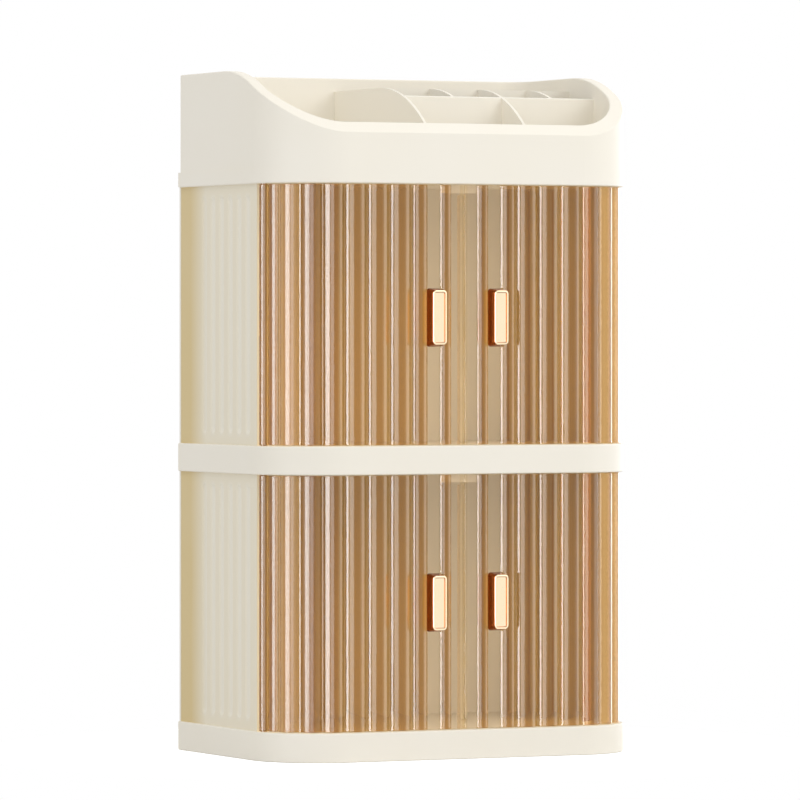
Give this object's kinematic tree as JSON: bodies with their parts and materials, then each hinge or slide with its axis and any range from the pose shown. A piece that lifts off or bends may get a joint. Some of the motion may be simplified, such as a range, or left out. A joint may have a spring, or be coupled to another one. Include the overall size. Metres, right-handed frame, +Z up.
{
  "type": "cosmetic storage cabinet",
  "caption": "Two-storey vanity cabinet with see-through reeded doors that wrap round the front corners, under an open divided tray",
  "frame": {"origin": "on the table, under the middle of the bands' outline, at the centre pad of the base", "axes": "+Z up, -Y out of the doors, +X to the right as seen from the front"},
  "size_m": [0.24, 0.1589, 0.405],
  "materials": {
    "cream_plastic": "smooth moulded plastic with a soft sheen",
    "amber_plastic": "clear amber-tinted plastic, glossy, reeded outside",
    "gold": "polished gold plating",
    "screw_steel": "plain steel"
  },
  "bodies": {
    "cabinet": {"base": "cream_plastic", "mid_shelf": "cream_plastic", "top_tray": "cream_plastic", "lower_left_side_panel": "cream_plastic", "lower_right_side_panel": "cream_plastic", "lower_back_panel": "cream_plastic", "upper_left_side_panel": "cream_plastic", "upper_right_side_panel": "cream_plastic", "upper_back_panel": "cream_plastic"},
    "lower_left_door": {"lower_left_door": "amber_plastic", "lower_left_handle": "gold", "lower_left_handle_screws": "screw_steel"},
    "lower_right_door": {"lower_right_door": "amber_plastic", "lower_right_handle": "gold", "lower_right_handle_screws": "screw_steel"},
    "upper_left_door": {"upper_left_door": "amber_plastic", "upper_left_handle": "gold", "upper_left_handle_screws": "screw_steel"},
    "upper_right_door": {"upper_right_door": "amber_plastic", "upper_right_handle": "gold", "upper_right_handle_screws": "screw_steel"}
  },
  "joints": [
    {"name": "lower_left_door_hinge", "type": "hinge", "parent": "cabinet", "child": "lower_left_door", "pos_m": [-0.115, -0.041, 0.0172], "axis": [0, 0, -1], "range_deg": [0, 100]},
    {"name": "lower_right_door_hinge", "type": "hinge", "parent": "cabinet", "child": "lower_right_door", "pos_m": [0.115, -0.041, 0.0172], "axis": [0, 0, 1], "range_deg": [0, 100]},
    {"name": "upper_left_door_hinge", "type": "hinge", "parent": "cabinet", "child": "upper_left_door", "pos_m": [-0.115, -0.041, 0.1842], "axis": [0, 0, -1], "range_deg": [0, 100]},
    {"name": "upper_right_door_hinge", "type": "hinge", "parent": "cabinet", "child": "upper_right_door", "pos_m": [0.115, -0.041, 0.1842], "axis": [0, 0, 1], "range_deg": [0, 100]}
  ]
}
